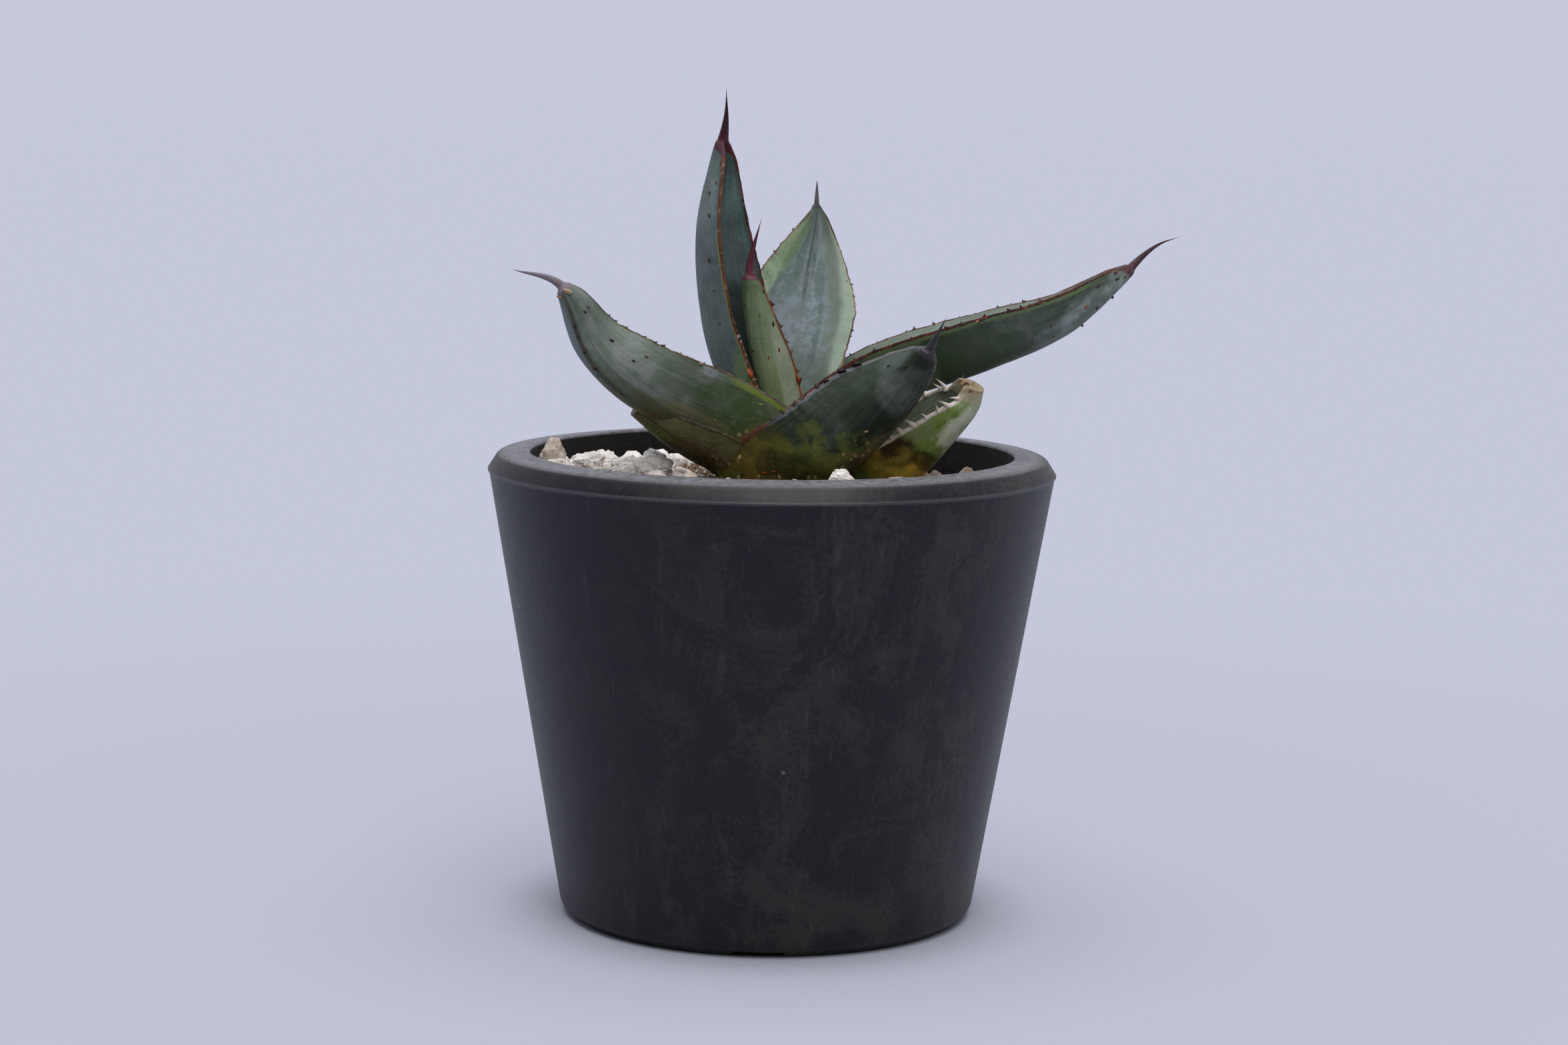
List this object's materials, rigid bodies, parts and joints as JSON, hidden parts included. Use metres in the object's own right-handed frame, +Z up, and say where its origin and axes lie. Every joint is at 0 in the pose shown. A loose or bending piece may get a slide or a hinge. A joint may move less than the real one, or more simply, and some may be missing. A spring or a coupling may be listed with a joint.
{
  "type": "potted agave",
  "caption": "Young agave with seven channelled spine-tipped leaves, in a tapered charcoal plastic pot topped with pale pumice.",
  "frame": {"origin": "on the pot's axis, in the plane of its foot, where the pot stands on the ground", "axes": "+Z up along the pot's axis; +X to the right and -Y to the front as the picture shows it"},
  "size_m": [0.1453, 0.12, 0.1753],
  "materials": {
    "pot_plastic": "matte charcoal, handled and slightly scuffed",
    "potting_mix": "loose dark grit and bark",
    "pumice": "rough, pale, dusty",
    "stem": "fibrous, dull",
    "leaf_young": "waxy, light green",
    "leaf": "waxy blue-green with a grey bloom and red-brown margins",
    "leaf_bloomed": "waxy, with a pale blue-grey bloom",
    "leaf_old": "waxy, bright green, stained and scarred",
    "leaf_dried": "dry, fibrous, mossy"
  },
  "bodies": {
    "root": {"pot": "pot_plastic", "soil": "potting_mix", "pumice": "pumice", "stem": "stem", "leaf_young_centre": "leaf_young", "leaf_tall_left": "leaf", "leaf_back": "leaf_bloomed", "leaf_long_right": "leaf", "leaf_front_left": "leaf", "leaf_front_right": "leaf", "leaf_trimmed_right": "leaf_old", "leaf_old_stub": "leaf_dried"}
  },
  "joints": []
}
